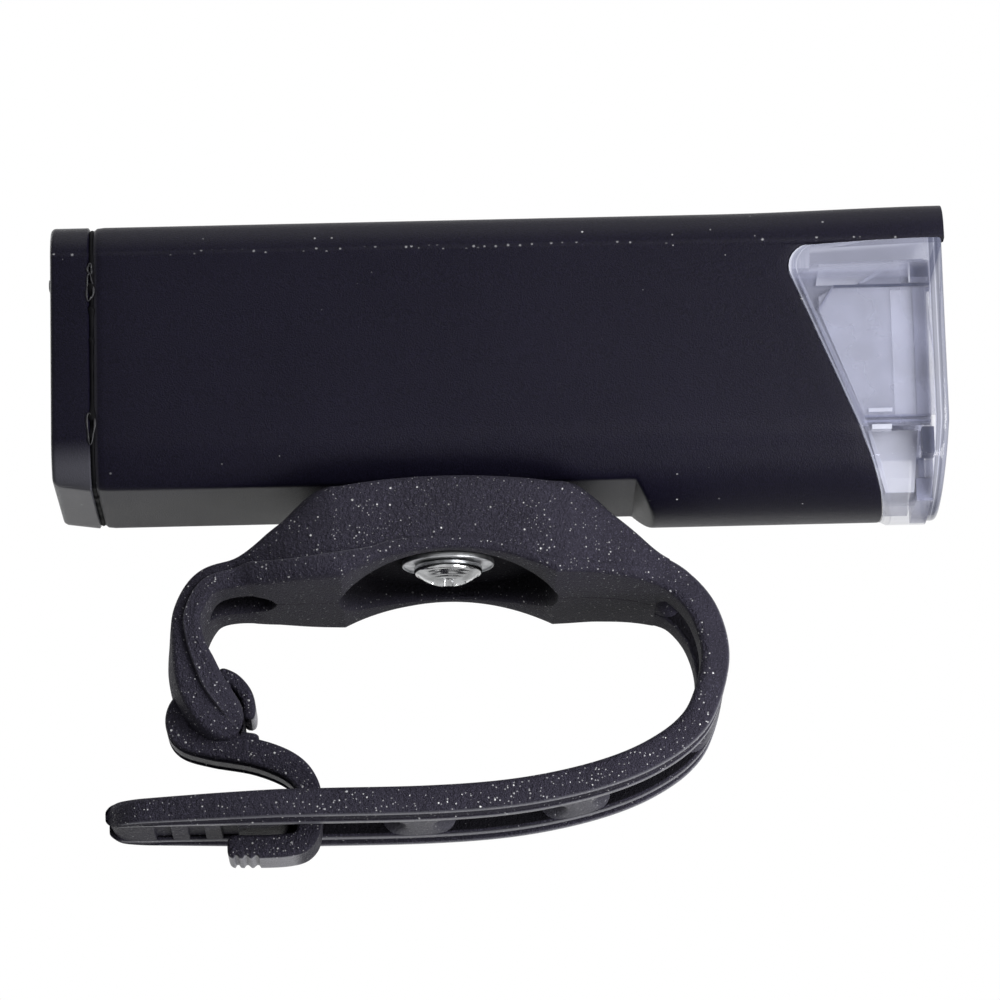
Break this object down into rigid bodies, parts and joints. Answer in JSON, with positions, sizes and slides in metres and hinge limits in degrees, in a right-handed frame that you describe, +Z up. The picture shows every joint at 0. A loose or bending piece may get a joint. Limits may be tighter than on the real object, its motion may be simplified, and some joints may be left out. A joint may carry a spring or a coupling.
{
  "type": "bicycle headlight",
  "caption": "Slim bicycle headlight with a clear wrap-round front lens, turning on a rubber handlebar strap that hooks closed under the bar.",
  "frame": {"origin": "axis of the handlebar, straight below the swivel screw and on the middle plane", "axes": "+X along the beam, +Y along the handlebar, +Z up from the handlebar to the light"},
  "size_m": [0.0894, 0.0264, 0.0641],
  "materials": {
    "housing": "matte, very fine grain",
    "clear_lens": "clear, polished",
    "clear_optic": "clear, polished",
    "emitter": "phosphor dome",
    "white_board": "white solder mask",
    "sink": "bare",
    "cap": "matte with a satin rim",
    "seal": "soft black",
    "flap_rubber": "matte",
    "button_rubber": "matte",
    "switch": "plain",
    "light_pipe": "clear",
    "green_board": "solder mask",
    "socket_shell": "pressed sheet",
    "small_screws": "zinc plated",
    "cell_can": "printed wrap without text",
    "tab_strip": "nickel",
    "tray": "plain",
    "brass_insert": "turned",
    "screw_chrome": "bright plating",
    "washer_steel": "bright plating",
    "bush": "plain",
    "strap_rubber": "matte, pebbled, dusty"
  },
  "bodies": {
    "mount": {"strap_saddle": "strap_rubber", "strap_bend": "strap_rubber", "strap_hook": "strap_rubber"},
    "light": {"housing": "housing", "front_lens": "clear_lens", "beam_optic": "clear_optic", "led_emitter": "emitter", "led_board": "white_board", "heat_sink": "sink", "rear_cap": "cap", "rear_seal": "seal", "push_switch": "switch", "charge_light": "light_pipe", "control_board": "green_board", "charging_socket": "socket_shell", "board_screws": "small_screws", "battery_cell": "cell_can", "battery_tabs": "tab_strip", "battery_tray": "tray", "thread_insert": "brass_insert", "mount_screw": "screw_chrome", "mount_washer": "washer_steel", "swivel_bush": "bush"},
    "button": {"power_button": "button_rubber"},
    "port_flap": {"port_cover": "flap_rubber"},
    "tail": {"strap_tail": "strap_rubber"}
  },
  "joints": [
    {"name": "head_swivel", "type": "hinge", "parent": "mount", "child": "light", "pos_m": [0, 0, 0.0198], "axis": [0, 0, 1], "range_deg": [-20, 20]},
    {"name": "button_press", "type": "slide", "parent": "light", "child": "button", "axis": [0, 0, -1], "range_m": [0, 0.0006], "stiffness_N_per_m": 3300},
    {"name": "port_open", "type": "hinge", "parent": "light", "child": "port_flap", "pos_m": [-0.0388, 0, 0.0366], "axis": [0, -1, 0], "range_deg": [0, 100]},
    {"name": "strap_open", "type": "hinge", "parent": "mount", "child": "tail", "pos_m": [0.0256, 0, -0.0006], "axis": [0, -1, 0], "range_deg": [0, 60], "stiffness_Nm_per_rad": 0.02, "deforming": ["strap_bend", "strap_hook"]}
  ]
}
